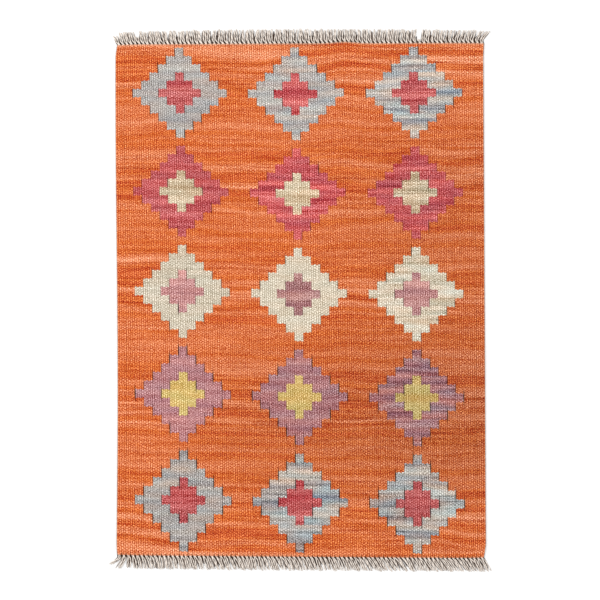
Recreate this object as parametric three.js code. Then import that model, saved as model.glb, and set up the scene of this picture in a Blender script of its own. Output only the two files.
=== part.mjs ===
// A small flatwoven wool kilim lying flat: one woven field and, at each end, the fringe of its
// own warps, which leave the last weft two by two as loosely twisted tassels.
//
// Frame: millimetres, X across the rug, Y along it and Z up. The origin is on the floor, in the
// middle of the whole rug, fringes included.

import * as THREE from "three";

// Driving dimensions ------------------------------------------------------------------------

const FIELD_WIDTH = 604; // between the selvedges, midway along
const FIELD_LENGTH = 843; // between the last wefts, midway across
const FIELD_THICKNESS = 4; // weft packed over thick warps
const EAST_TAPER = 2.3; // how much further out the east selvedge is at the south end than midway
const WEST_SWING = 1.8; // how far the west selvedge swings in and out
const SWING_LENGTH = 1000; // along the rug, from one outward swing to the next
const SWING_CREST = 350; // where along the rug it stands furthest out
const CORNER_CUT = 20; // along the selvedge, what the field's soft corners take off
const CORNER_INSET = 1; // across the rug, what they take off the last weft
const CORNER_DROP = 1.2; // how much less the last weft reaches out at its corners
const BULGE_ACROSS = 72; // where the north end's bulge is
const BULGE_BREADTH = 22; // from its middle to where it fades
const SELVEDGE_ROUNDING = 1.2; // rounding of the edges, where the weft turns back
const FRINGE_THICKNESS = 3; // one tassel of two plied warps, lying flat
const TASSEL_COUNT = 85; // tassels along each end, for 170 warps
const FRINGE_LENGTH = 21.4; // from the last weft to the tips, midway across
const ROOT_ROW_DEPTH = 2.6; // the row along which the tassels leave the last weft
const ROOT_WIDTH = 3.6; // a tassel where it leaves the root row
const TIP_WIDTH = 5.2; // the same tassel where its yarns have opened out
const FRINGE_LEAN = 4.5; // sideways drift of a tassel from root to tip
const PIECE_GAP = 0.3; // clearance between the last weft and the root row
const TIP_RIPPLE = 0.9; // how far a tip falls short or reaches past the tips' common line
const RIPPLE_TURN = 2.4; // radians of that unevenness from one tassel to the next
const EDGE_FACETS = 48; // straight pieces along a curved edge

const FIELD_COLOUR = 0xd97848;
const FRINGE_COLOUR = 0xcfc3b6;

// Ends: how much further out the last weft lies at the east corner than midway, how far it
// bulges where it was beaten in less, and how much shorter the fringe is at the corners.
const ENDS = {
  north: { outwards: 1, skew: 1.4, bulge: 2.5, cornerShortening: 3.6 },
  south: { outwards: -1, skew: 2.4, bulge: 0, cornerShortening: 0.8 },
};

// Corner tassels fan out past the selvedges. A row for each tassel, from the corner inwards: how
// far its tip moves outwards, and how much of the common lean it keeps.
const CORNER_FAN = [
  { outwards: 8.5, leanShare: 0 },
  { outwards: 5.5, leanShare: 0.2 },
  { outwards: 3.0, leanShare: 0.5 },
  { outwards: 1.0, leanShare: 0.8 },
];

// Worn tassels, numbered from the west: the share of the usual reach that is left of each.
const WORN_TASSELS = [
  { side: "north", tassel: 5, reachShare: 0.75 },
  { side: "north", tassel: 70, reachShare: 0.2 },
];

// Outline helpers -----------------------------------------------------------------------------

const HALF_WIDTH = FIELD_WIDTH / 2;
const HALF_LENGTH = FIELD_LENGTH / 2;
const END_REACH = HALF_WIDTH - CORNER_INSET;
const SELVEDGE_REACH = HALF_LENGTH - CORNER_CUT;

// How far the west selvedge stands from the middle at a distance along the rug.
function westSelvedge(y) {
  const turn = (2 * Math.PI * (y - SWING_CREST)) / SWING_LENGTH;
  return -HALF_WIDTH - WEST_SWING * Math.cos(turn);
}

// The same for the east selvedge, which is straight.
const eastSelvedge = (y) => HALF_WIDTH - (EAST_TAPER * y) / HALF_LENGTH;

// How far out an end lies at a distance across the rug, before bulges and corners.
const endLine = (side, x) => HALF_LENGTH + (ENDS[side].skew * x) / HALF_WIDTH;

// Where the last weft lies there.
function lastWeft(side, x) {
  const { outwards, bulge } = ENDS[side];
  const bulging = bulge * Math.exp(-(((x - BULGE_ACROSS) / BULGE_BREADTH) ** 2));
  const drop = CORNER_DROP * (x / HALF_WIDTH) ** 16;
  return outwards * (endLine(side, x) + bulging - drop);
}

// Where the tips' common line is there.
function tipLine(side, x) {
  const { outwards, cornerShortening } = ENDS[side];
  const shorter = cornerShortening * (x / HALF_WIDTH) ** 2;
  return outwards * (endLine(side, x) + FRINGE_LENGTH - shorter);
}

// Evenly spaced values from one number to another, both included.
function spread(from, to, pieces) {
  return Array.from({ length: pieces + 1 }, (_, i) => from + ((to - from) * i) / pieces);
}

// The last weft's run of points from west to east.
const endRun = (side) =>
  spread(-END_REACH, END_REACH, EDGE_FACETS).map((x) => new THREE.Vector2(x, lastWeft(side, x)));

// A plate of even thickness standing on the floor, from its outline seen from above.
function plateFromOutline(points, thickness, rounding = 0) {
  const geometry = new THREE.ExtrudeGeometry(new THREE.Shape(points), {
    depth: thickness - 2 * rounding,
    bevelEnabled: rounding > 0,
    bevelThickness: rounding,
    bevelSize: rounding,
    bevelOffset: -rounding,
    bevelSegments: 2,
  });
  return geometry.translate(0, 0, rounding);
}

const cloth = (colour, roughness) =>
  new THREE.MeshStandardMaterial({ color: colour, roughness, metalness: 0 });

// Woven field ---------------------------------------------------------------------------------

// The field's outline runs down the east selvedge, back along the south end, up the west
// selvedge and along the north end.
function makeField() {
  const eastEnds = [SELVEDGE_REACH, -SELVEDGE_REACH];
  const westFacets = spread(-SELVEDGE_REACH, SELVEDGE_REACH, EDGE_FACETS);
  const outline = [
    ...eastEnds.map((y) => new THREE.Vector2(eastSelvedge(y), y)),
    ...endRun("south").reverse(),
    ...westFacets.map((y) => new THREE.Vector2(westSelvedge(y), y)),
    ...endRun("north"),
  ];
  const field = new THREE.Mesh(
    plateFromOutline(outline, FIELD_THICKNESS, SELVEDGE_ROUNDING),
    cloth(FIELD_COLOUR, 0.9),
  );
  field.name = "woven_field";
  return field;
}

// Warp fringes --------------------------------------------------------------------------------

// How far the tip of tassel `index` lands from its root, sideways.
function tipDrift(index, lean) {
  const west = CORNER_FAN[index];
  const east = CORNER_FAN[TASSEL_COUNT - 1 - index];
  if (west) return lean * west.leanShare - west.outwards;
  if (east) return lean * east.leanShare + east.outwards;
  return lean;
}

// The share of the usual reach that is left of tassel `index`.
function reachShare(side, index) {
  const worn = WORN_TASSELS.find((row) => row.side === side && row.tassel === index);
  return worn ? worn.reachShare : 1;
}

// One end's fringe: a comb whose back is the root row and whose teeth are the tassels. `side`
// is "north" or "south"; the fringe leans towards negative X in the north and the other way in
// the south, as it was brushed when the rug was laid.
function makeFringe(side) {
  const { outwards } = ENDS[side];
  const lean = -outwards * FRINGE_LEAN;
  const pitch = (2 * END_REACH) / TASSEL_COUNT;

  const back = endRun(side).map(({ x, y }) => [x, y + outwards * PIECE_GAP]);
  const teeth = [];
  for (let index = TASSEL_COUNT - 1; index >= 0; index -= 1) {
    const middle = -END_REACH + (index + 0.5) * pitch;
    const root = lastWeft(side, middle) + outwards * (PIECE_GAP + ROOT_ROW_DEPTH);
    const ripple = TIP_RIPPLE * (Math.sin(index * RIPPLE_TURN) - 1);
    const share = reachShare(side, index);
    const tip = root + share * (tipLine(side, middle) + outwards * ripple - root);
    const tipMiddle = middle + share * tipDrift(index, lean);
    teeth.push(
      [middle + ROOT_WIDTH / 2, root],
      [tipMiddle + TIP_WIDTH / 2, tip],
      [tipMiddle - TIP_WIDTH / 2, tip],
      [middle - ROOT_WIDTH / 2, root],
    );
  }
  const outline = [...back, ...teeth].map(([x, y]) => new THREE.Vector2(x, y));
  const fringe = new THREE.Mesh(
    plateFromOutline(outline, FRINGE_THICKNESS),
    cloth(FRINGE_COLOUR, 0.95),
  );
  fringe.name = `${side}_fringe`;
  return fringe;
}

// Rug -----------------------------------------------------------------------------------------

const rug = new THREE.Group();
rug.add(makeField(), makeFringe("north"), makeFringe("south"));

// Centre the whole outline on the origin, with the underside on the floor.
const extent = new THREE.Box3().setFromObject(rug);
const middle = extent.getCenter(new THREE.Vector3());
rug.position.set(-middle.x, -middle.y, -extent.min.z);

export default rug;
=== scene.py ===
"""A small flatwoven wool kilim: one woven field and, at each end, the fringe of its own warps.

X runs across the rug, Y along it and Z up, as in the CAD frame. Lengths are millimetres, and turn
into metres where a mesh or the camera is made. The floor's size and the lights' sizes and places
are given in metres.
"""

from collections import namedtuple

import bpy
import numpy as np
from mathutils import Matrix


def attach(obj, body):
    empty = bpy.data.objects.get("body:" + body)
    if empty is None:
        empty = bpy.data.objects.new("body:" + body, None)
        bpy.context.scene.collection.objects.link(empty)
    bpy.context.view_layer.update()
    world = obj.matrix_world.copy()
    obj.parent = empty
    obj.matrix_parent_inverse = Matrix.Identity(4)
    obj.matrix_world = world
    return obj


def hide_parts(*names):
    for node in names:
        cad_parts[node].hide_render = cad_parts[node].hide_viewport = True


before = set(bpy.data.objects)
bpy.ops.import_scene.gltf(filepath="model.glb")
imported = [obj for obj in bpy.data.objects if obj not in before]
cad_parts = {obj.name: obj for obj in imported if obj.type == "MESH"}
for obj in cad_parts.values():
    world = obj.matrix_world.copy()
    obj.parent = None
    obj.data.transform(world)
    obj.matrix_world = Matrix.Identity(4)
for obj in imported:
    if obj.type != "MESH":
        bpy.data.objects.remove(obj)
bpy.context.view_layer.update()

MM = 0.001

# ---- The weave ------------------------------------------------------------------------------
# Two weave coordinates run over the field. `warp` counts ribs from the west selvedge, and `step`
# counts the steps of the diamonds from the north end.

WARPS = 170
STEPS = 60
FLOATS_PER_STEP = 3.5  # a step is seven picks, and a rib shows every second pick
UNIT_WARPS = 4  # the width of one step of a diamond
DIAMOND_REACH = 5  # steps from a diamond's middle to its tip
CORE_REACH = 2  # the same for the small diamond inside it
CORE_BAND_PITCH = 2.5  # steps from one dark band of a core to the next
LIVELY_PITCH = 13.3  # steps from one lively stretch of the ground to the next
COLUMN_PITCH = 54
ROW_STEPS = (6, 18, 30, 42, 54)  # the middle step of each row of diamonds
ROW_PITCH = 12

# How the weave lies on the rug. The steps grow taller towards the south end. A column of
# diamonds stands on its middle warp and drifts east on its way south, most of it at first. Between
# the ends its weft lines lie north of even ones by its lead, which changes by its gain; in mm.
STEP_GROWTH = 1.12  # how many times as high the last step is as the first
Column = namedtuple("Column", "warp north_x drift lead lead_gain")
COLUMNS = [
    Column(30, -200, 8, -2.5, 10),
    Column(84, -10, 9, -7.5, 10),
    Column(138, 185, 7, -3.5, 4),
]
COLUMN_WARPS = tuple(column.warp for column in COLUMNS)

# ---- Yarns ----------------------------------------------------------------------------------
# Each dye lot runs from a dark to a light shade along the yarn, which streaks the weave, and its
# hue wanders by its own share from warmer to cooler. A row of diamonds has its two yarns, how
# light each diamond came out (west, middle, east; 1 is the common shade) and how strongly it is
# streaked. A core may have a dark band across its middle, or a dark band above and below it where
# the number is negative.

Yarn = namedtuple("Yarn", "dark light hue")
MotifRow = namedtuple(
    "MotifRow", "outer outer_tones outer_streaks core core_tones core_streaks core_bands"
)

GREY_BLUE = Yarn("#8a868b", "#c7beb2", 0.8)
RASPBERRY = Yarn("#ac3239", "#ce706d", 0.4)
MAGENTA_ROSE = Yarn("#a6323e", "#d46c6a", 0.6)
BEIGE = Yarn("#b09573", "#d8c8ae", 0.4)
IVORY = Yarn("#bfb097", "#dbd0be", 0.4)
DUSTY_ROSE = Yarn("#945c63", "#d4a29a", 0.4)
MAUVE = Yarn("#8e5460", "#c1908d", 0.9)
YELLOW = Yarn("#b89447", "#dbc485", 1.0)

# The ground's orange in its common shade, in linear light, and how much its lightest shade differs
# from its darkest. No streak takes its red, green or blue below the deepest orange's.
ORANGE = (0.662, 0.165, 0.044)
ORANGE_STREAK = (0.200, 0.190, 0.145)
DEEPEST_ORANGE = (0.585, 0.100, 0.014)
COMMON_SHADE = 0.42  # where the common shade lies between the darkest, 0, and the lightest, 1

MOTIF_ROWS = [
    MotifRow(
        GREY_BLUE, (1.04, 1.06, 1.05), (0.5, 0.8, 1.2),
        RASPBERRY, (0.92, 1.08, 0.94), (1.0, 1.0, 1.1), (-0.15, 0.25, -0.2),
    ),
    MotifRow(
        MAGENTA_ROSE, (0.93, 1.04, 0.94), (0.8, 1.1, 1.2),
        BEIGE, (1.03, 1.10, 0.93), (0.9, 1.0, 1.3), (0.2, 0, 0),
    ),
    MotifRow(
        IVORY, (0.97, 1.05, 1.00), (0.5, 0.5, 1.2),
        DUSTY_ROSE, (1.19, 0.87, 1.01), (0.7, 0.9, 0.6), (0, -0.12, 0.2),
    ),
    MotifRow(
        MAUVE, (1.13, 0.98, 0.86), (0.5, 0.7, 1.3),
        YELLOW, (1.1, 1.02, 0.87), (0.35, 0.4, 0.45), (0, 0, 0),
    ),
    MotifRow(
        GREY_BLUE, (0.97, 0.94, 0.94), (0.7, 1.2, 1.3),
        RASPBERRY, (0.93, 0.95, 0.83), (1.0, 0.9, 0.7), (0, 0.25, 0),
    ),
]

# The strongest streaks of the orange, where a length of it took more dye: the middle step, the
# depth in steps and how much lighter. A list for each part of the weft: west of the first column
# of diamonds, between the columns, and east of the last.
Streak = namedtuple("Streak", "step depth lighter")
GROUND_STREAKS = [
    [
        Streak(1.2, 0.8, -0.7), Streak(4.0, 1.0, -0.8), Streak(17.2, 1.1, -0.8), Streak(27.2, 0.9, -0.6),
        Streak(31.9, 0.8, -0.5), Streak(33.2, 0.9, -0.7), Streak(39.7, 0.8, -0.7), Streak(56.5, 0.8, -0.6),
    ],
    [
        Streak(7.7, 0.9, -0.4), Streak(13.2, 0.5, -0.5), Streak(14.3, 0.5, -0.6), Streak(16.1, 1.0, -0.9),
        Streak(18.1, 1.0, -0.9), Streak(33.2, 0.8, -0.5), Streak(39.8, 0.8, -0.5), Streak(56.8, 0.8, -0.6),
    ],
    [
        Streak(1.3, 0.7, -0.7), Streak(5.7, 1.1, -0.9), Streak(13.2, 0.5, -0.4), Streak(15.9, 0.7, -0.6),
        Streak(17.9, 1.2, -0.9), Streak(39.8, 0.8, -0.7), Streak(42.6, 1.0, -0.6), Streak(55.2, 1.0, -0.7),
    ],
    [
        Streak(1.3, 0.7, -0.5), Streak(4.2, 0.6, -0.5), Streak(14.3, 0.5, -0.5), Streak(22.0, 0.9, -0.6),
        Streak(33.2, 0.7, -0.4), Streak(39.8, 0.8, -0.7), Streak(50.4, 0.8, -0.4), Streak(57.0, 0.8, -0.5),
    ],
]

# ---- Cloth ----------------------------------------------------------------------------------

FIELD_THICKNESS = 4.0
RIB_DEPTH = 0.85  # how far the valley between two ribs lies below their crests
RIB_ROUNDNESS = 0.75  # exponent of the rib's section: below 1 is fuller than a sine
EDGE_ROUNDING = 1.6
CREST_CLEARANCE = 0.3  # how far the crests lie below the CAD field's face, before it swells
SWELL = 0.25  # how far the cloth's face rises and falls, slowly, over the rug
SLIT_DEPTH = 2.2
COLUMNS_PER_RIB = 4
ROWS_PER_STEP = 2
BACK_COARSENESS = 2  # the underside has every second column
BACK_ROW_STEP = 2  # and a row every second step

random = np.random.default_rng(1427)


# ---- Helpers --------------------------------------------------------------------------------

def smooth(at, knots, values):
    """The smooth curve through values at knots, read at the places in `at`."""
    at = np.asarray(at, float)
    knots, values = np.asarray(knots, float), np.asarray(values, float)
    slopes = np.gradient(values, knots)
    i = np.clip(np.searchsorted(knots, at, side="right") - 1, 0, len(knots) - 2)
    span = knots[i + 1] - knots[i]
    t = (at - knots[i]) / span
    rise = values[i + 1] - values[i]
    bend = span * (slopes[i] + slopes[i + 1]) - 2 * rise
    return values[i] + span * slopes[i] * t + (rise - span * slopes[i] - bend) * t * t + bend * t**3


def wander(count, reach):
    """A random run of `count` numbers of unit spread, each like its neighbours within `reach`."""
    raw = random.normal(size=count + 4 * reach)
    window = np.hanning(2 * reach + 3)
    run = np.convolve(raw, window, mode="same")[2 * reach:2 * reach + count]
    return run / np.sqrt((window**2).sum())


def ripple(rows, columns, reach):
    """A random grid of unit spread, smooth within `reach` (rows, columns)."""
    grid = random.normal(size=(rows, columns))
    for axis, width in enumerate(reach):
        window = np.hanning(2 * width + 3)
        window /= np.sqrt((window**2).sum())
        grid = np.apply_along_axis(np.convolve, axis, grid, window, mode="same")
    return grid


def ease(x):
    """0 to 1 with soft ends."""
    x = np.clip(x, 0, 1)
    return x * x * (3 - 2 * x)


def linear(hex_colour):
    """An RGBA colour in linear light from #rrggbb."""
    parts = [int(hex_colour[i:i + 2], 16) / 255 for i in (1, 3, 5)]
    return [p / 12.92 if p <= 0.04045 else ((p + 0.055) / 1.055) ** 2.4 for p in parts] + [1.0]


def mesh_object(name, vertices, faces, attributes, uvs=None):
    """An object from vertices in mm, with float attributes per vertex and UVs per face corner."""
    mesh = bpy.data.meshes.new(name)
    mesh.from_pydata((np.asarray(vertices) * MM).tolist(), [], faces)
    for key, values in attributes.items():
        layer = mesh.attributes.new(key, "FLOAT", "POINT")
        layer.data.foreach_set("value", np.asarray(values, np.float32).ravel())
    if uvs is not None:
        layer = mesh.uv_layers.new(name="OFBake")
        layer.data.foreach_set("uv", np.asarray(uvs, np.float32).ravel())
    mesh.shade_smooth()
    mesh.update()
    piece = bpy.data.objects.new(name, mesh)
    bpy.context.scene.collection.objects.link(piece)
    return piece


# ---- Outline, from the CAD field ------------------------------------------------------------

def cad_points(node):
    """The vertices of a CAD node, in mm."""
    mesh = bpy.data.objects[node].data
    points = np.empty(len(mesh.vertices) * 3)
    mesh.vertices.foreach_get("co", points)
    return points.reshape(-1, 3) / MM


def edge_curve(points, along, across):
    """Sorted (places, offsets) of outline points, to interpolate offset against place."""
    order = np.argsort(points[:, along])
    return points[order, along], points[order, across]


field_points = cad_points("woven_field")
# The outline is widest at mid thickness, where the rounding of its edges ends.
is_outline = np.abs(field_points[:, 2] - FIELD_THICKNESS / 2) < FIELD_THICKNESS / 4
outline = field_points[is_outline]
SELVEDGE_BEYOND = 296  # selvedge points lie further out than this, and end points nearer the ends
END_BEYOND = 410
WEST = edge_curve(outline[outline[:, 0] < -SELVEDGE_BEYOND], 1, 0)
EAST = edge_curve(outline[outline[:, 0] > SELVEDGE_BEYOND], 1, 0)
NORTH = edge_curve(outline[outline[:, 1] > END_BEYOND], 0, 1)
SOUTH = edge_curve(outline[outline[:, 1] < -END_BEYOND], 0, 1)


def place(warps, steps):
    """Where weave coordinates lie on the rug: x and y in mm, a row for each step."""
    knots = (0, *COLUMN_WARPS, WARPS)
    run = np.asarray(steps, float) / STEPS
    growth = (STEP_GROWTH - 1) / 2
    even = run * (1 + growth * run) / (1 + growth)
    swell = 1 - (2 * run - 1) ** 4
    length = NORTH[1].mean() - SOUTH[1].mean()
    columns_x, shares = [], []
    for column in COLUMNS:
        columns_x.append(column.north_x + column.drift * (1 - (1 - run) ** 2))
        lead = swell * (column.lead + column.lead_gain * run)
        shares.append(1 - even + lead / length)
    x, y = np.empty((2, len(steps), len(warps)))
    for row in range(len(steps)):
        share = [shares[0][row], *(s[row] for s in shares), shares[2][row]]
        rim_y = [
            SOUTH[1][end] + share[end] * (NORTH[1][end] - SOUTH[1][end]) for end in (0, -1)
        ]
        xs = [np.interp(rim_y[0], *WEST), *(c[row] for c in columns_x), np.interp(rim_y[1], *EAST)]
        x[row] = smooth(warps, knots, xs)
        south, north = np.interp(x[row], *SOUTH), np.interp(x[row], *NORTH)
        y[row] = south + np.interp(warps, knots, share) * (north - south)
    return x, y


# ---- Woven field ----------------------------------------------------------------------------

EAST_DARKER = 0.14  # how much darker the orange is towards the east, below the north end
PATCH_DARKER = 0.14  # and in a patch in the south


def ground_tone(x, y):
    """How light the orange is: darker towards the east, and in a patch low down."""
    east = ease((x + 60) / 330)
    down = ease((400 - y) / 240) - 0.6 * ease((-230 - y) / 140)
    patch = ease((x + 260) / 260) * ease(1 - np.abs(y + 200) / 220)
    return 1.0 - EAST_DARKER * east * down - PATCH_DARKER * patch


# Patches of the orange that took more dye or less: the middle and the reach in mm, and the shade.
DyePatch = namedtuple("DyePatch", "x y reach lighter")
DYE_PATCHES = [
    DyePatch(10, -180, 140, -0.14),
    DyePatch(-196, 177, 85, -0.08),
    DyePatch(110, 260, 150, 0.05),
    DyePatch(-100, -65, 85, -0.07),
]


def dye_depth(x, y):
    """How much lighter the patches make the orange's shade."""
    depth = 0.0
    for patch in DYE_PATCHES:
        away = (x - patch.x) ** 2 + (y - patch.y) ** 2
        depth = depth + patch.lighter * np.exp(-away / patch.reach**2)
    return depth


def diamond_edges(reach):
    """The upright edges of a stepped diamond: (steps from its middle, warps from its middle)."""
    for step in range(-reach, reach + 1):
        half_width = UNIT_WARPS * (reach - abs(step)) + UNIT_WARPS // 2
        yield step, half_width
        yield step, -half_width


# How far open the slits are in each row of diamonds, round the diamond and round its core.
OUTER_SLITS = (0.40, 0.25, 0.35, 0.68, 0.85)
CORE_SLITS = (0.30, 0.25, 0.30, 0.35, 0.70)
SLIT_MIDDLE = 0.1  # steps from a slit's middle within which it is fully open
SLIT_END = 0.55  # and within which it is open at all
SLIT_END_SHARE = 0.7  # how far open it is towards its ends
SLIT_SIDE_SHARE = 0.5  # how deep it cuts into the columns of points on each side
# The outer ribs of a selvedge are woven as a group of their own, with a slight groove inside it.
SELVEDGE_GROOVES = (4, WARPS - 4)
SELVEDGE_GROOVE = 0.12


def slit_grid(steps):
    """How open each slit is, on the front's grid of rows and columns."""
    slits = np.zeros((len(steps), WARPS * COLUMNS_PER_RIB + 1))
    for middle_step, outer, core in zip(ROW_STEPS, OUTER_SLITS, CORE_SLITS):
        for middle_warp in COLUMN_WARPS:
            for reach, openness in ((DIAMOND_REACH, outer), (CORE_REACH, core)):
                for step, warp in diamond_edges(reach):
                    open_here = np.clip(openness * random.gamma(2.0, 0.5), 0, 1)
                    away = np.abs(steps - (middle_step + step))
                    rows = away < SLIT_END
                    along = np.where(away < SLIT_MIDDLE, 1.0, SLIT_END_SHARE)[rows]
                    column = (middle_warp + warp) * COLUMNS_PER_RIB
                    for beside, share in ((0, 1.0), (-1, SLIT_SIDE_SHARE), (1, SLIT_SIDE_SHARE)):
                        here = open_here * share * along
                        slits[rows, column + beside] = np.maximum(slits[rows, column + beside], here)
    for column in SELVEDGE_GROOVES:
        slits[:, column * COLUMNS_PER_RIB] += SELVEDGE_GROOVE
    return slits


def rib_section(warps):
    """1 on a rib's crest and 0 in the valleys beside it."""
    return np.abs(np.sin(np.pi * warps)) ** RIB_ROUNDNESS


def edge_fade(x, y, warps, steps):
    """1 inside the field, falling to a small share at its rim, where the cloth is rounded off."""
    across = np.minimum(x - x[:, :1], x[:, -1:] - x)
    along = np.minimum(y[:1] - y, y - y[-1:])
    depth = np.clip(np.minimum(across, along) / EDGE_ROUNDING, 0, 1)
    return 0.3 + 0.7 * np.sqrt(1 - (1 - depth) ** 2)


def grid_faces(rows, columns, first=0, flip=False):
    """Quads over a grid of vertices numbered row by row from `first`, with +Z out unless flipped."""
    corner = first + (np.arange(rows - 1)[:, None] * columns + np.arange(columns - 1)).ravel()
    quads = np.stack([corner, corner + columns, corner + columns + 1, corner + 1], axis=1)
    return quads[:, ::-1] if flip else quads


def make_field():
    """The field as one closed mesh: ribbed front, ribbed back with fewer points, and rims."""
    warps = np.arange(WARPS * COLUMNS_PER_RIB + 1) / COLUMNS_PER_RIB
    rim = np.array([0.03, 0.1])  # extra rows, in steps, where the ends are rounded off
    inner = np.arange(STEPS * ROWS_PER_STEP + 1) / ROWS_PER_STEP
    steps = np.unique(np.concatenate([inner, rim, STEPS - rim]))
    x, y = place(warps, steps)

    # Ribs wander a little and differ in height; the slits open in the valleys between them.
    rib_of = np.minimum((warps + 0.5).astype(int), WARPS)
    inwards = np.minimum(1, np.minimum(warps, WARPS - warps) / 4)
    sway = wander(WARPS + 1, 1)[rib_of] * 0.1 + wander(WARPS + 1, 5)[rib_of] * 0.2
    wobble = ripple(len(steps), WARPS + 1, (3, 1))[:, rib_of] * 0.25
    x += (sway + wobble) * inwards
    slits = slit_grid(steps)
    section = rib_section(warps)[None, :]
    rib_height = 1 + 0.04 * wander(WARPS + 1, 1)[np.minimum(warps.astype(int), WARPS)]
    swell = SWELL * np.sin(x / 83 + 1.3 * np.sin(y / 120)) * np.sin(y / 97 + 0.8)
    crest = FIELD_THICKNESS - CREST_CLEARANCE + swell
    front = crest - RIB_DEPTH * rib_height * (1 - section)
    front -= SLIT_DEPTH * slits
    fade = edge_fade(x, y, warps, steps)
    middle = FIELD_THICKNESS / 2
    front_z = middle + (front - middle) * fade

    back_columns = np.arange(0, len(warps), BACK_COARSENESS)
    back_rows = np.flatnonzero(np.isin(steps, np.arange(0, STEPS + 1, BACK_ROW_STEP)))
    pick = np.ix_(back_rows, back_columns)
    back = RIB_DEPTH * (1 - section[:, back_columns])
    back_z = middle + (back - middle) * fade[pick]

    rows, columns = x.shape
    front_vertices = np.stack([x, y, front_z], axis=-1).reshape(-1, 3)
    back_vertices = np.stack([x[pick], y[pick], back_z], axis=-1).reshape(-1, 3)
    vertices = np.concatenate([front_vertices, back_vertices])
    front_faces = grid_faces(rows, columns)
    back_faces = grid_faces(len(back_rows), len(back_columns), len(front_vertices), flip=True)

    def front_index(row, column):
        return row * columns + column

    def back_index(i, j):
        return len(front_vertices) + i * len(back_columns) + j

    rims = []
    for i, (row_a, row_b) in enumerate(zip(back_rows[:-1], back_rows[1:])):
        run = range(row_a, row_b + 1)
        rims.append([back_index(i, 0), *(front_index(r, 0) for r in run), back_index(i + 1, 0)][::-1])
        last = len(back_columns) - 1
        rims.append([
            back_index(i, last), *(front_index(r, columns - 1) for r in run), back_index(i + 1, last)
        ])
    for j, (col_a, col_b) in enumerate(zip(back_columns[:-1], back_columns[1:])):
        run = range(col_a, col_b + 1)
        rims.append([back_index(0, j), *(front_index(0, c) for c in run), back_index(0, j + 1)])
        last = len(back_rows) - 1
        rims.append([
            back_index(last, j), *(front_index(rows - 1, c) for c in run), back_index(last, j + 1)
        ][::-1])

    both = lambda grid: np.concatenate([grid.ravel(), grid[pick].ravel()])
    warp_grid, step_grid = np.meshgrid(warps, steps)
    attributes = {
        "warp": both(warp_grid),
        "step": both(step_grid),
        "slit": both(slits),
        "ground_tone": both(ground_tone(x, y)),
        "dye_depth": both(dye_depth(x, y)),
        **{key: both(grid) for key, grid in motif_grids(warp_grid, step_grid).items()},
    }
    faces = front_faces.tolist() + back_faces.tolist() + rims
    uvs = field_uvs(vertices, faces, len(front_faces), len(back_faces), len(front_vertices))
    return mesh_object("kilim_field", vertices, faces, attributes, uvs)


def motif_grids(warp, step):
    """Each diamond's tones and streaks, constant over the cell of the repeat that it stands in."""
    row = np.clip(step // ROW_PITCH, 0, len(ROW_STEPS) - 1).astype(int)
    first = COLUMN_WARPS[0] - COLUMN_PITCH / 2
    column = np.clip((warp - first) // COLUMN_PITCH, 0, len(COLUMN_WARPS) - 1).astype(int)
    grids = {}
    for key in ("outer_tones", "outer_streaks", "core_tones", "core_streaks", "core_bands"):
        table = np.array([getattr(motif, key) for motif in MOTIF_ROWS], float)
        grids[key[:-1]] = table[row, column]
    return grids


def field_uvs(vertices, faces, front_count, back_count, front_vertex_count):
    """The bake map: the front over most of the square, the back small beside it."""
    low, high = vertices.min(0), vertices.max(0)
    size = high[1] - low[1]
    front_scale, back_scale = 0.985 / size, 0.43 / size
    front = (vertices[:, :2] - low[:2]) * front_scale + [0.0075, 0.0075]
    back = (vertices[:, :2] - low[:2]) * back_scale + [0.72 + 0.012, 0.0075]
    centre = front[:front_vertex_count].mean(0)
    uvs = []
    for number, face in enumerate(faces):
        if number < front_count:
            uvs.extend(front[face])
        elif number < front_count + back_count:
            uvs.extend(back[face])
        else:  # a rim's lower points go a little outside the front's edge
            for v in face:
                outwards = 0.003 * np.sign(front[v] - centre) if v >= front_vertex_count else 0
                uvs.append(front[v] + outwards)
    return np.array(uvs)


# ---- Fringe ---------------------------------------------------------------------------------

TASSELS = WARPS // 2
# The lean of a tassel, in degrees towards +X, near its root and towards its tip. Each has its value
# at the west selvedge and at the east one. A fan is added at a corner, from its last tassel
# inwards. The loose plies beneath carry painted shade, which fades from nearly black over the
# length `shade`, and the two warps of a tassel are longer than the CAD tassel's reach by `spare`.
Fringe = namedtuple("Fringe", "side outwards root_lean tip_lean west_fan east_fan shade spare")
FRINGES = [
    Fringe("north", 1, (-32, -30), (-9, 12), (-12, -2, 0), (22, 16, 10, 5), 2.6, 2.9),
    Fringe("south", -1, (26, 42), (9, 36), (-58, -34, -14, -5), (-14, -7, -3), 2.6, 1.8),
]
# Worn tassels: the share of the usual length that is left of each.
WORN = {("north", 0): 0.65, ("north", 5): 0.75, ("north", 70): 0.2, ("south", 0): 0.65}

PLIES = 3
PLY_RADIUS = 0.56
PLY_TONES = (1.0, 0.9, 0.4)  # 1 is ivory, 0 is dark grey-brown and -1 the nearly black painted shade
PLY_TURN = 9.0  # a ply winds once round its warp in this length
UNDER_STRANDS = 6  # loose plies beneath each tassel, side by side, darkened as painted shade
UNDER_RADIUS = 0.72
SHADE_START = 0.4  # beyond the last weft, where their painted black shade begins to fade
FRINGE_SEGMENTS = 12
FRINGE_SIDES = 6
ROOT_DEPTH = 1.5  # how far inside the last weft a warp is first seen
ROOT_HEIGHT = 2.2
TIPS_BEYOND = 430  # only the tassels' tips lie further out than this
FLOOR_GAP = 0.02  # no strand reaches closer to the floor
SIDE_AT_ROOT = 0.7  # half the space between a tassel's two warps at the root
SIDE_OPENING = 1.05  # and how much that grows
OPENING_LENGTH = 6.5  # over this length


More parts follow.
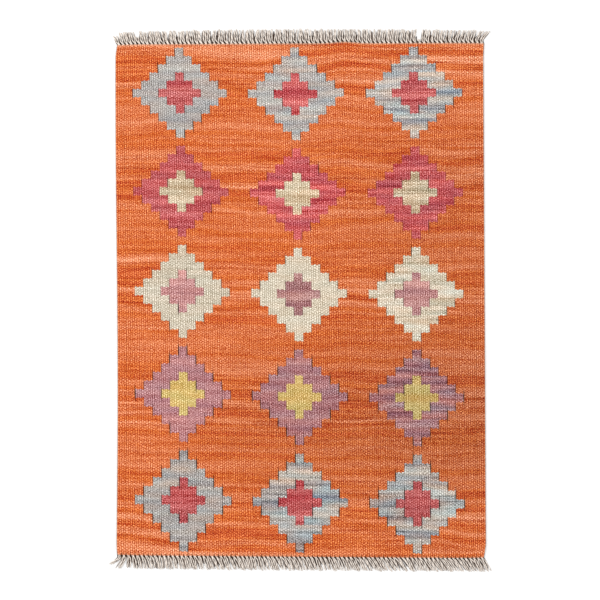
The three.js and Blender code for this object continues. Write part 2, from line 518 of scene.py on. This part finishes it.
def tube_vertices(paths, radii, sides):
    """Rings round each path: paths (n, m, 3) and radii (n, m) give (n, m, sides, 3)."""
    tangents = np.gradient(paths, axis=1)
    tangents /= np.linalg.norm(tangents, axis=2, keepdims=True)
    across = np.cross(tangents, [0.0, 0.0, 1.0])
    across /= np.linalg.norm(across, axis=2, keepdims=True)
    up = np.cross(across, tangents)
    angle = np.arange(sides) * 2 * np.pi / sides
    ring = (
        across[:, :, None] * np.cos(angle)[:, None] + up[:, :, None] * np.sin(angle)[:, None]
    )
    return paths[:, :, None] + ring * radii[:, :, None, None]


def tube_faces(count, rings, sides):
    """Quads along each tube and a cap at both ends."""
    faces = []
    ring = np.arange(sides)
    turned = np.roll(ring, -1)
    for tube in range(count):
        first = tube * rings * sides
        for i in range(rings - 1):
            a, b = first + i * sides, first + (i + 1) * sides
            faces.extend(np.stack([a + ring, a + turned, b + turned, b + ring], axis=1).tolist())
        faces.append((first + ring[::-1]).tolist())
        faces.append((first + (rings - 1) * sides + ring).tolist())
    return faces


def leans(fringe, index):
    """The lean of a tassel near its root and towards its tip, in degrees."""
    east = index / (TASSELS - 1)
    fan = 0
    if index < len(fringe.west_fan):
        fan = fringe.west_fan[index]
    elif TASSELS - 1 - index < len(fringe.east_fan):
        fan = fringe.east_fan[TASSELS - 1 - index]
    root = np.interp(east, (0, 1), fringe.root_lean) + 0.4 * fan
    tip = np.interp(east, (0, 1), fringe.tip_lean) + fan
    return root, tip


def drift(out, root_lean, tip_lean):
    """Sideways drift at distances `out` beyond the last weft, as the lean eases to the tip's."""
    turn = ease((out - 1.5) / 7)
    slope = np.tan(np.radians(root_lean * (1 - turn) + tip_lean * turn))
    total = np.concatenate([[0.0], np.cumsum(np.diff(out) * (slope[1:] + slope[:-1]) / 2)])
    return total - np.interp(0.0, out, total)


def fringe_strands(fringe, tip_line):
    """Every ply of one end's fringe: paths, radii and the tone along each."""
    run = np.linspace(0, 1, FRINGE_SEGMENTS + 1)
    end = np.array([0.0 if fringe.outwards > 0 else float(STEPS)])
    common = wander(TASSELS, 2) * 3
    strands = []
    for k in range(TASSELS):
        root_lean, tip_lean = leans(fringe, k)
        tip_lean += common[k]
        share = WORN.get((fringe.side, k), 1.0)
        root_x, root_y = (grid[0, 0] for grid in place(np.array([2 * k + 1.0]), end))
        reach = (abs(np.interp(root_x, *tip_line)) - abs(root_y)) * share

        # Two plied warps, crossed at the root and side by side further out.
        upper = random.choice((-1, 1))
        for side in (-1, 1):
            length = reach + fringe.spare + random.uniform(-0.6, 0.6)
            out = -ROOT_DEPTH + run * (length + ROOT_DEPTH)
            opening = ease(out / OPENING_LENGTH)
            own = random.normal(0, 3)
            centre_x = root_x + drift(out, root_lean + own, tip_lean + own)
            centre_x += side * (SIDE_AT_ROOT + SIDE_OPENING * opening)
            centre_x += 0.25 * np.sin(out / 3 + random.uniform(0, 6))
            level = (1.9 if side == upper else 1.3) + random.uniform(-0.15, 0.3)
            centre_z = ROOT_HEIGHT + (level - ROOT_HEIGHT) * ease((out + 0.5) / 4)
            spread = 0.5 + 0.35 * ease((run - 0.7) / 0.3) * random.uniform(0.3, 1.6)
            phase = random.uniform(0, 2 * np.pi)
            for ply, tone in enumerate(PLY_TONES):
                angle = phase + 2 * np.pi * (ply / PLIES + out / PLY_TURN)
                radius = PLY_RADIUS * random.uniform(0.85, 1.1)
                radius = radius * (1 - 0.55 * ease((run - 0.75) / 0.25))
                path = np.stack([
                    centre_x + spread * np.cos(angle),
                    root_y + fringe.outwards * (out - run**4 * random.uniform(-0.3, 0.9)),
                    np.maximum(centre_z + 0.8 * spread * np.sin(angle), radius + 0.05),
                ], axis=1)
                strands.append((path, radius, tone + random.normal(0, 0.08) + 0 * run))

        # Loose plies beneath, darkened as painted shade, nearly black where they leave the weft.
        for j in range(UNDER_STRANDS):
            warp = 2 * k + (j + 0.5) * 2 / UNDER_STRANDS
            x, y = (grid[0, 0] for grid in place(np.array([warp]), end))
            is_shaded = random.random() < 0.6
            length = reach * (random.uniform(0.55, 0.95) if is_shaded else random.uniform(0.95, 1.08))
            out = -1.0 + run * (length + 1.0)
            own = random.normal(0, 3)
            radius = UNDER_RADIUS * (1 - 0.6 * ease((run - 0.75) / 0.25))
            tone = (-0.5 if is_shaded else 0.17) + random.normal(0, 0.12)
            path = np.stack([
                x + drift(out, root_lean + own, tip_lean + own),
                y + fringe.outwards * out,
                np.maximum(1.3 - 0.6 * ease((out + 1) / 4), radius + 0.04),
            ], axis=1)
            # Painted shade: nearly black at the weft, fading out along the ply.
            root_shade = 1 - ease((out - SHADE_START) / fringe.shade)
            strands.append((path, radius, tone - (1 + tone) * root_shade))
    return (np.array(part) for part in zip(*strands))


def strip_uvs(count, rings, sides):
    """The bake map of many tubes: each unrolled into its own upright strip."""
    across = int(np.ceil(np.sqrt(count * 6.0)))
    down = int(np.ceil(count / across))
    uvs = []
    ring = np.arange(sides)
    for tube in range(count):
        left, bottom = (tube % across) / across, (tube // across) / down
        u = left + (0.1 + 0.8 * np.arange(sides + 1) / sides) / across
        v = bottom + (0.06 + 0.88 * np.arange(rings) / (rings - 1)) / down
        for i in range(rings - 1):
            corners = np.stack([
                np.stack([u[ring], np.full(sides, v[i])], 1),
                np.stack([u[ring + 1], np.full(sides, v[i])], 1),
                np.stack([u[ring + 1], np.full(sides, v[i + 1])], 1),
                np.stack([u[ring], np.full(sides, v[i + 1])], 1),
            ], axis=1)
            uvs.append(corners.reshape(-1, 2))
        for edge, order in ((v[0] - 0.03 / down, ring[::-1]), (v[-1] + 0.03 / down, ring)):
            angle = 2 * np.pi * order / sides
            centre = [left + 0.5 / across, edge]
            cap = np.stack([0.3 / across * np.cos(angle), 0.02 / down * np.sin(angle)], 1)
            uvs.append(centre + cap)
    return np.concatenate(uvs)


def make_fringe(fringe):
    """One end's fringe as a mesh of many tubes, whose tips reach the CAD fringe's."""
    points = cad_points(fringe.side + "_fringe")
    tips = points[points[:, 1] * fringe.outwards > TIPS_BEYOND]
    tip_line = edge_curve(tips, 0, 1)
    paths, radii, tones = fringe_strands(fringe, tip_line)
    rings = paths.shape[1]
    vertices = tube_vertices(paths, radii, FRINGE_SIDES)
    vertices[..., 2] = np.maximum(vertices[..., 2], FLOOR_GAP)
    count = len(paths)
    shape = (count, rings, FRINGE_SIDES)
    length = np.linalg.norm(np.diff(paths, axis=1), axis=2).cumsum(1)
    length = np.concatenate([np.zeros((count, 1)), length], axis=1)
    attributes = {
        "tone": np.broadcast_to(tones[:, :, None], shape),
        "along": np.broadcast_to(length[:, :, None], shape),
        "strand": np.broadcast_to(np.arange(count)[:, None, None], shape),
    }
    return mesh_object(
        "kilim_fringe_" + fringe.side,
        vertices.reshape(-1, 3),
        tube_faces(count, rings, FRINGE_SIDES),
        attributes,
        strip_uvs(count, rings, FRINGE_SIDES),
    )


# ---- Materials ------------------------------------------------------------------------------

class Graph:
    """A material's nodes, made by short calls. Any argument can be a socket or a plain value."""

    def __init__(self, name):
        self.material = bpy.data.materials.new(name)
        self.material.use_nodes = True
        self.tree = self.material.node_tree
        self.tree.nodes.clear()

    def add(self, kind, inputs=(), **settings):
        node = self.tree.nodes.new("ShaderNode" + kind)
        for key, value in settings.items():
            setattr(node, key, value)
        for key, value in dict(inputs).items():
            if isinstance(value, bpy.types.NodeSocket):
                self.tree.links.new(value, node.inputs[key])
            else:
                node.inputs[key].default_value = value
        return node

    def math(self, operation, *values):
        return self.add("Math", enumerate(values), operation=operation).outputs[0]

    def clamped(self, value):
        return self.add("Clamp", {0: value}).outputs[0]

    def attribute(self, name):
        return self.add("Attribute", attribute_name=name).outputs["Fac"]

    def vector(self, *parts):
        return self.add("CombineXYZ", enumerate(parts)).outputs[0]

    def noise(self, vector, detail=0.0):
        inputs = {"Vector": vector, "Scale": 1.0, "Detail": detail}
        return self.add("TexNoise", inputs).outputs["Fac"]

    def swing(self, vector, detail=0.0):
        """Noise about zero."""
        return self.math("SUBTRACT", self.noise(vector, detail), 0.5)

    def white(self, *parts):
        return self.add("TexWhiteNoise", {"Vector": self.vector(*parts)}).outputs["Value"]

    def blend(self, share, a, b, mode="MIX"):
        inputs = {0: share, 6: a, 7: b}
        node = self.add("Mix", inputs, data_type="RGBA", blend_type=mode, clamp_factor=True)
        return node.outputs[2]

    def scaled(self, colour, factor):
        """A colour times a number that varies."""
        return self.add("VectorMath", {0: colour, "Scale": factor}, operation="SCALE").outputs[0]

    def colours(self, operation, *parts):
        """Arithmetic on colours, channel by channel."""
        return self.add("VectorMath", enumerate(parts), operation=operation).outputs[0]

    def gamma(self, colour, power):
        return self.add("Gamma", {0: colour, 1: power}).outputs[0]

    def pick(self, index, colours):
        """The colour whose number is `index`, from a ramp with as many flat steps."""
        place = self.math("DIVIDE", self.math("ADD", index, 0.5), len(colours))
        ramp = self.add("ValToRGB", {0: place})
        ramp.color_ramp.interpolation = "CONSTANT"
        stops = ramp.color_ramp.elements
        while len(stops) < len(colours):
            stops.new(0.5)
        for i, colour in enumerate(colours):
            stops[i].position = i / len(colours)
            stops[i].color = colour
        return ramp.outputs[0]

    def output(self, shader):
        self.add("OutputMaterial", {"Surface": shader.outputs[0]})
        return self.material


SHEEN_TINT = (1.0, 0.93, 0.86, 1.0)
COOLER = (-0.5, 0.18, 0.55)  # how a cooler hue changes red, green and blue, as shares
# The painted highlight on a float's crest, the painted shade in its gaps and the random tone of its
# fibres add or take this share of its colour raised to this power, which is paler than the dye itself.
TONE_AND_LIGHT_SHARE = 0.78
TONE_AND_LIGHT_POWER = 0.4

PAINTED_SELVEDGE_SHADE = linear("#7a5a44")  # painted shade on the outermost rib of a selvedge
BARE_WARP = linear("#dcc0aa")  # the warps seen between the first picks
PAINTED_SLOT_SHADE = linear("#2a1c12")  # painted shade beneath the last picks, between two tassels
UNDYED_DARK = linear("#5a483e")  # a tassel's plies run from this
UNDYED_LIGHT = linear("#faefe4")  # to this
PAINTED_ROOT_SHADE = linear("#26180e")  # painted shade: the loose ends beneath them, nearly black at the roots
UNDYED_BENEATH = linear("#cfc3b6")  # the fringe seen from below
SIDE_SHADE_REACH = 0.5  # ribs, over which a selvedge's painted shade fades
END_WEAR = 0.26  # steps, over which the warps show at an end
SLOT_REACH = 0.3  # steps, over which the painted shade between tassels fades


def wool_shader(graph, colour, normal, roughness):
    """The common finish of wool: dull, with the soft sheen of loose fibres."""
    inputs = {
        "Base Color": colour,
        "Normal": normal,
        "Roughness": roughness,
        "Specular IOR Level": 0.15,
        "Sheen Weight": 0.12,
        "Sheen Roughness": 0.5,
        "Sheen Tint": SHEEN_TINT,
    }
    return graph.add("BsdfPrincipled", inputs)


def strong_streaks(graph, part, step):
    """How much lighter the ground's strongest streaks make it, in a part of the weft."""
    total = 0.0
    for number, streaks in enumerate(GROUND_STREAKS):
        ramp = graph.add("ValToRGB", {0: graph.math("DIVIDE", step, STEPS)})
        ramp.color_ramp.interpolation = "EASE"
        stops = ramp.color_ramp.elements
        stops[0].color = (0.5, 0.5, 0.5, 1)
        stops.remove(stops[1])
        for streak in streaks:
            shade = (1 + streak.lighter) / 2
            for side, value in ((-0.8, 0.5), (0.0, shade), (0.8, 0.5)):
                stop = stops.new((streak.step + side * streak.depth) / STEPS)
                stop.color = (value, value, value, 1)
        stops.remove(stops[0])
        here = graph.math("COMPARE", part, float(number), 0.1)
        lighter = graph.math("SUBTRACT", ramp.outputs[0], 0.5)
        total = graph.math("MULTIPLY_ADD", here, lighter, total)
    return total


def woven_wool():
    """The field: which yarn shows is worked out for each float of the weave, rib by rib."""
    g = Graph("woven_wool")
    m = g.math
    warp, step = g.attribute("warp"), g.attribute("step")

    # The float under this point: its rib, its number along the rib, and the point's place in it.
    # Floats of neighbouring ribs lie half a float apart. The picks drift, except at a step's ends.
    rib = m("FLOOR", warp)
    odd = m("MODULO", rib, 2.0)
    slow = g.vector(m("MULTIPLY", warp, 0.18), m("MULTIPLY", step, 0.9), 0.0)
    inside = m("POWER", m("COSINE", m("MULTIPLY", step, np.pi)), 2.0)
    uneven = m("MULTIPLY", g.swing(slow), inside)
    offset = m("MULTIPLY_ADD", odd, 0.5, m("MULTIPLY", uneven, 1.2))
    run = m("MULTIPLY_ADD", step, FLOATS_PER_STEP, offset)
    number = m("FLOOR", run)
    across, along = m("FRACT", warp), m("FRACT", run)
    middle = m("SUBTRACT", m("ADD", number, 0.5), offset)
    float_step = m("DIVIDE", middle, FLOATS_PER_STEP)
    float_warp = m("ADD", rib, 0.5)
    # Floats overlap where they are packed, so a colour's edge is less toothed than they are.
    edge_step = m("MULTIPLY_ADD", m("SUBTRACT", float_step, step), 0.3, step)

    # Its place in the repeat: row and column of diamonds, and units from the diamond's middle.
    first = COLUMN_WARPS[0] - COLUMN_PITCH / 2
    from_first = m("SUBTRACT", float_warp, first)
    column = m("FLOOR", m("DIVIDE", from_first, COLUMN_PITCH))
    row = m("FLOOR", m("DIVIDE", edge_step, ROW_PITCH))
    aside = m("SUBTRACT", m("FLOORED_MODULO", from_first, COLUMN_PITCH), COLUMN_PITCH / 2)
    down = m("SUBTRACT", m("FLOORED_MODULO", edge_step, ROW_PITCH), ROW_PITCH / 2)
    units_aside = m("ABSOLUTE", m("ROUND", m("DIVIDE", aside, UNIT_WARPS)))
    units_down = m("ABSOLUTE", m("ROUND", down))
    distance = m("ADD", units_aside, units_down)
    in_diamond = m("LESS_THAN", distance, DIAMOND_REACH + 0.5)
    in_core = m("LESS_THAN", distance, CORE_REACH + 0.5)

    # Where a diamond interrupts the weft, the yarn either side of it is another length, so its
    # streaks differ. `lane` counts those lengths from the west.
    beside = m("LESS_THAN", m("ABSOLUTE", down), DIAMOND_REACH + 0.5)
    lane = m("MULTIPLY", m("ADD", column, m("GREATER_THAN", aside, 0.0)), beside)
    beside_core = m("LESS_THAN", m("ABSOLUTE", down), CORE_REACH + 0.5)
    half = m("MULTIPLY", m("GREATER_THAN", aside, 0.0), beside_core)
    diamond = m("MULTIPLY_ADD", row, 3.0, column)
    outer_seed = m("ADD", m("MULTIPLY_ADD", diamond, 7.7, 41.3), m("MULTIPLY", half, 3.1))
    core_seed = m("MULTIPLY_ADD", diamond, 5.9, 201.7)

    def choose(ground, outer, core):
        """One of three numbers, by which yarn shows."""
        inside = m("MULTIPLY_ADD", in_core, m("SUBTRACT", core, outer), outer)
        return m("MULTIPLY_ADD", in_diamond, m("SUBTRACT", inside, ground), ground)

    seed = choose(m("MULTIPLY_ADD", lane, 13.1, 0.7), outer_seed, core_seed)

    # Streaks: bands about a step deep that run along the weft, finer ones, then single picks.
    wave = g.swing(g.vector(m("MULTIPLY", warp, 0.035), m("MULTIPLY", step, 0.2), seed))
    waved = m("MULTIPLY_ADD", wave, 1.4, float_step)
    band = g.swing(g.vector(m("MULTIPLY", warp, 0.009), m("MULTIPLY", waved, 1.2), seed))
    line = g.swing(g.vector(m("MULTIPLY", warp, 0.014), m("MULTIPLY", waved, 3.3), seed))
    pick = g.swing(g.vector(m("MULTIPLY", warp, 0.05), m("MULTIPLY", step, 6.6), seed))
    streak = choose(1.0, g.attribute("outer_streak"), g.attribute("core_streak"))
    banding = m("MULTIPLY_ADD", band, 1.25, m("MULTIPLY", line, 0.35))
    part = m("ADD", column, m("GREATER_THAN", aside, 0.0))
    strong = strong_streaks(g, part, waved)
    # The ground's yarn is more evenly dyed between livelier lengths.
    lively = m("COSINE", m("MULTIPLY", m("SUBTRACT", step, 3.0), 2 * np.pi / LIVELY_PITCH))
    streak = m("MULTIPLY", streak, choose(m("MULTIPLY_ADD", lively, 0.35, 0.95), 1.0, 1.0))
    shade = m("MULTIPLY_ADD", banding, streak, 0.5)
    thread = m("MULTIPLY", m("MULTIPLY_ADD", line, 0.25, m("MULTIPLY", pick, 0.6)), streak)
    ripples = m("COSINE", m("MULTIPLY", m("ADD", down, wave), 2 * np.pi / CORE_BAND_PITCH))
    core_band = m("MULTIPLY", m("MULTIPLY", g.attribute("core_band"), in_core), ripples)
    shade = m("SUBTRACT", shade, core_band)
    ground_shade = m("POWER", g.clamped(m("ADD", shade, strong)), 1.4)
    shade = g.clamped(shade)

    def shades(yarns):
        """The shade of each row's yarn that shows here."""
        dark = g.pick(row, [linear(yarn.dark) for yarn in yarns])
        light = g.pick(row, [linear(yarn.light) for yarn in yarns])
        return g.blend(shade, dark, light)

    ground_shade = m("ADD", ground_shade, g.attribute("dye_depth"))
    lighter = m("SUBTRACT", ground_shade, COMMON_SHADE)
    ground = g.colours("ADD", ORANGE, g.scaled(ORANGE_STREAK, lighter))
    ground = g.colours("MAXIMUM", ground, DEEPEST_ORANGE)
    outer = shades([motif.outer for motif in MOTIF_ROWS])
    core = shades([motif.core for motif in MOTIF_ROWS])
    colour = g.blend(in_diamond, ground, g.blend(in_core, outer, core))
    # The dye of the diamonds' yarns varies in hue as well, from warmer to cooler.
    hue = g.swing(g.vector(m("MULTIPLY", warp, 0.08), m("MULTIPLY", step, 1.1), seed))
    outer_hue = g.pick(row, [(motif.outer.hue,) * 3 + (1,) for motif in MOTIF_ROWS])
    core_hue = g.pick(row, [(motif.core.hue,) * 3 + (1,) for motif in MOTIF_ROWS])
    hue = m("MULTIPLY", hue, m("MULTIPLY", streak, choose(0.0, outer_hue, core_hue)))
    colour = g.colours("MULTIPLY_ADD", colour, g.scaled(COOLER, hue), colour)
    tone = choose(g.attribute("ground_tone"), g.attribute("outer_tone"), g.attribute("core_tone"))

    # Painted highlight and shade: a float's crest is painted lighter and the gaps between floats
    # darker, on top of the random tone of its fibres.
    grain = g.swing(g.vector(m("MULTIPLY", warp, 2.1), m("MULTIPLY", step, 14.0), 0.0))
    mottle = g.swing(g.vector(m("MULTIPLY", warp, 0.4), m("MULTIPLY", step, 3.4), 0.0))
    own = m("SUBTRACT", g.white(rib, number, 11.0), 0.5)
    bloom = m("ADD", m("MULTIPLY", grain, 2.15), m("MULTIPLY", own, 0.12))
    bloom = m("ADD", bloom, m("MULTIPLY_ADD", mottle, 0.2, thread))
    hollow_across = m("POWER", m("SINE", m("MULTIPLY", across, np.pi)), 0.8)
    hollow_along = m("POWER", m("SINE", m("MULTIPLY", along, np.pi)), 0.5)
    # How dark the painted shade in the gaps is differs from float to float.
    gap_across = m("MULTIPLY_ADD", g.white(rib, number, 23.0), 0.5, 0.25)
    gap_along = m("MULTIPLY_ADD", g.white(rib, number, 31.0), 0.6, 0.25)
    painted_rib_shade = m("MULTIPLY_ADD", gap_across, m("SUBTRACT", hollow_across, 0.7), 1.0)
    painted_float_shade = m("MULTIPLY_ADD", gap_along, m("SUBTRACT", hollow_along, 0.76), 1.0)
    painted_crest_shade = m("MULTIPLY", painted_rib_shade, painted_float_shade)
    tone_and_painted_light = m("SUBTRACT", m("MULTIPLY", m("ADD", bloom, 1.0), painted_crest_shade), 1.0)
    # Painted shade darkens the slits and the selvedge grooves, which are also cut into the cloth. The
    # painted light and the tone change a dark dye by a larger share than a light one.
    slit = g.attribute("slit")
    colour = g.scaled(colour, m("MULTIPLY", tone, m("MULTIPLY_ADD", slit, -0.9, 1.0)))
    tone_and_light_colour = g.scaled(g.gamma(colour, TONE_AND_LIGHT_POWER), TONE_AND_LIGHT_SHARE)
    colour = g.colours("ADD", colour, g.scaled(tone_and_light_colour, tone_and_painted_light))

    # Painted shade on the outermost rib, and the first picks at the ends show the warps between.
    from_side = m("MINIMUM", warp, m("SUBTRACT", float(WARPS), warp))
    side = g.clamped(m("SUBTRACT", 1.0, m("DIVIDE", from_side, SIDE_SHADE_REACH)))
    colour = g.blend(m("MULTIPLY", side, 0.7), colour, PAINTED_SELVEDGE_SHADE)
    from_end = m("MINIMUM", step, m("SUBTRACT", float(STEPS), step))
    end = g.clamped(m("SUBTRACT", 1.0, m("DIVIDE", from_end, END_WEAR)))
    is_north = m("LESS_THAN", step, STEPS / 2)
    pale = m("MULTIPLY_ADD", is_north, 0.5, 0.2)
    colour = g.blend(m("MULTIPLY", end, pale), colour, BARE_WARP)
    # Painted shade between two tassels at the last picks, nearly black, most in the south.
    pair = m("ABSOLUTE", m("SINE", m("MULTIPLY", warp, np.pi / 2)))
    between_tassels = m("POWER", m("SUBTRACT", 1.0, pair), 2.0)
    deep = m("MULTIPLY_ADD", is_north, -0.6, 1.8)
    near_end = g.clamped(m("SUBTRACT", 1.0, m("DIVIDE", from_end, SLOT_REACH)))
    dark = g.clamped(m("MULTIPLY", m("MULTIPLY", between_tassels, deep), near_end))
    colour = g.blend(dark, colour, PAINTED_SLOT_SHADE)

    # Relief: each float is domed, and its plies wind across it.
    twist = m("SINE", m("MULTIPLY_ADD", across, 9.0, m("MULTIPLY", along, 14.0)))
    height = m("MULTIPLY_ADD", hollow_along, 0.55, m("MULTIPLY", twist, 0.05))
    height = m("ADD", height, m("MULTIPLY", grain, 0.1))
    normal = g.add("Bump", {"Strength": 1.0, "Distance": MM, "Height": height}).outputs[0]
    roughness = m("MULTIPLY_ADD", grain, 0.2, 0.88)
    return g.output(wool_shader(g, colour, normal, roughness))


def warp_yarn():
    """The fringe: undyed wool, each ply of its own grey, and painted shade on the ends between roots."""
    g = Graph("warp_yarn")
    m = g.math
    tone, along, strand = (g.attribute(key) for key in ("tone", "along", "strand"))
    place_along = g.vector(m("MULTIPLY", along, 0.35), m("MULTIPLY", strand, 7.31), 0.0)
    blotch = m("MULTIPLY", m("SUBTRACT", g.noise(place_along, 2.0), 0.5), 0.6)
    shade = m("ADD", tone, blotch)
    colour = g.blend(g.clamped(shade), UNDYED_DARK, UNDYED_LIGHT)
    # Painted shade: a negative tone darkens a ply towards nearly black.
    painted_shade = g.clamped(m("MULTIPLY", tone, -1.0))
    colour = g.blend(painted_shade, colour, PAINTED_ROOT_SHADE)
    # Faces that look down are turned pale, so the painted shade shows from above only: from beneath,
    # the fringe is as pale as it is from above.
    upward = g.add("SeparateXYZ", {0: g.add("NewGeometry").outputs["True Normal"]}).outputs[2]
    beneath = g.clamped(m("MULTIPLY", upward, -2.0))
    colour = g.blend(m("MULTIPLY", beneath, 0.8), colour, UNDYED_BENEATH)
    coordinates = g.add("TexCoord").outputs["Object"]
    fine = g.add("TexNoise", {"Vector": coordinates, "Scale": 2600.0, "Detail": 2.0}).outputs["Fac"]
    height = m("MULTIPLY", fine, 0.3)
    normal = g.add("Bump", {"Strength": 0.8, "Distance": MM, "Height": height}).outputs[0]
    roughness = m("MULTIPLY_ADD", fine, 0.15, 0.82)
    return g.output(wool_shader(g, colour, normal, roughness))


# ---- Stage ----------------------------------------------------------------------------------

FRAME_WIDTH = 984.0  # what the picture's width shows at the rug's face
VIEW_CENTRE = (-1.0, 0.8)  # the point of the rug in the middle of the picture
LENS = 100.0
SENSOR = 36.0
FLOOR_SIZE = 40.0  # metres
SURROUND = 0.79  # strength of the white all round


def make_camera():
    """Straight above the rug, with a long lens."""
    data = bpy.data.cameras.new("camera")
    data.lens, data.sensor_width = LENS, SENSOR
    camera = bpy.data.objects.new("camera", data)
    height = FRAME_WIDTH * LENS / SENSOR + FIELD_THICKNESS
    camera.location = [length * MM for length in (*VIEW_CENTRE, height)]
    bpy.context.scene.collection.objects.link(camera)
    bpy.context.scene.camera = camera


def make_floor():
    """A plain pale floor, far larger than the rug."""
    half = FLOOR_SIZE / 2 / MM
    corners = [(-half, -half, 0), (half, -half, 0), (half, half, 0), (-half, half, 0)]
    floor = mesh_object("floor", corners, [[0, 1, 2, 3]], {})
    g = Graph("floor_paint")
    g.output(g.add("BsdfPrincipled", {"Base Color": (0.96, 0.96, 0.96, 1), "Roughness": 0.9}))
    floor.data.materials.append(g.material)


def make_light(name, size, power, location):
    """A large soft panel that faces the rug's middle."""
    data = bpy.data.lights.new(name, "AREA")
    data.shape, data.size, data.energy = "SQUARE", size, power
    light = bpy.data.objects.new(name, data)
    light.location = location
    light.rotation_mode = "QUATERNION"
    light.rotation_quaternion = light.location.to_track_quat("Z", "Y")
    light.visible_camera = False
    bpy.context.scene.collection.objects.link(light)


def make_stage():
    """Floor, two soft panels and an even white surround."""
    make_floor()
    make_light("key_panel", 2.2, 80, (-2.6, 1.6, 2.6))
    make_light("fill_panel", 2.4, 36, (2.8, -1.2, 2.4))
    world = bpy.data.worlds.new("studio")
    world.use_nodes = True
    background = world.node_tree.nodes["Background"].inputs
    background["Color"].default_value = (1, 1, 1, 1)
    background["Strength"].default_value = SURROUND
    bpy.context.scene.world = world
    bpy.context.scene.view_settings.view_transform = "Standard"


# ---- Put together ---------------------------------------------------------------------------

make_camera()
make_stage()

field = make_field()
field.data.materials.append(woven_wool())
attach(field, "root")
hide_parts("woven_field")

yarn_material = warp_yarn()
for fringe in FRINGES:
    piece = make_fringe(fringe)
    piece.data.materials.append(yarn_material)
    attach(piece, "root")
    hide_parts(fringe.side + "_fringe")
